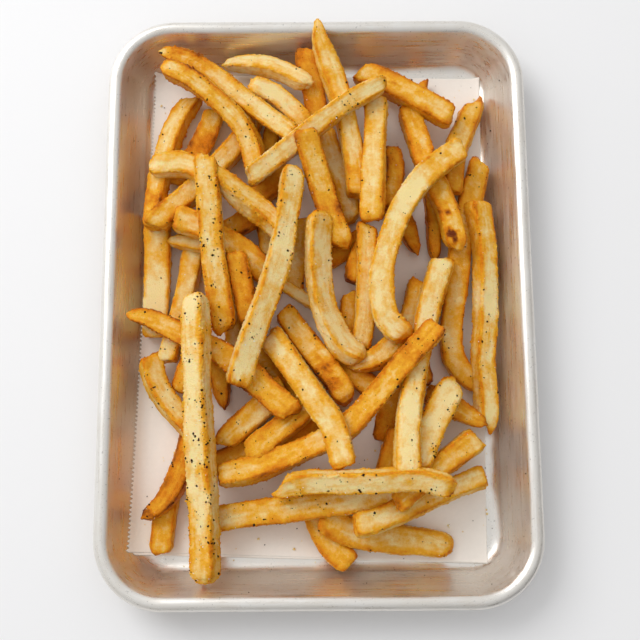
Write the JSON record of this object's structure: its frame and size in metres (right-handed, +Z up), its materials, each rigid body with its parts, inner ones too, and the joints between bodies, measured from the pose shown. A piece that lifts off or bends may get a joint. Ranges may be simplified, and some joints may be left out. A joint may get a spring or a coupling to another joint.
{
  "type": "french fries on a lined baking tray",
  "caption": "Heap of thick-cut french fries on a folded sheet of baking paper in a rimmed rectangular baking tray.",
  "frame": {"origin": "centre of the tray's underside, on the table", "axes": "+Z up, +Y along the tray's long side towards the top of the picture, +X to the right"},
  "size_m": [0.2406, 0.3346, 0.053],
  "materials": {
    "tray": "satin, finely scratched",
    "paper": "matt greaseproof baking paper",
    "fries": "fried potato, golden with browner edges, with ground pepper and salt"
  },
  "bodies": {
    "root": {"tray": "tray", "paper_liner": "paper", "fries": "fries"}
  },
  "joints": []
}
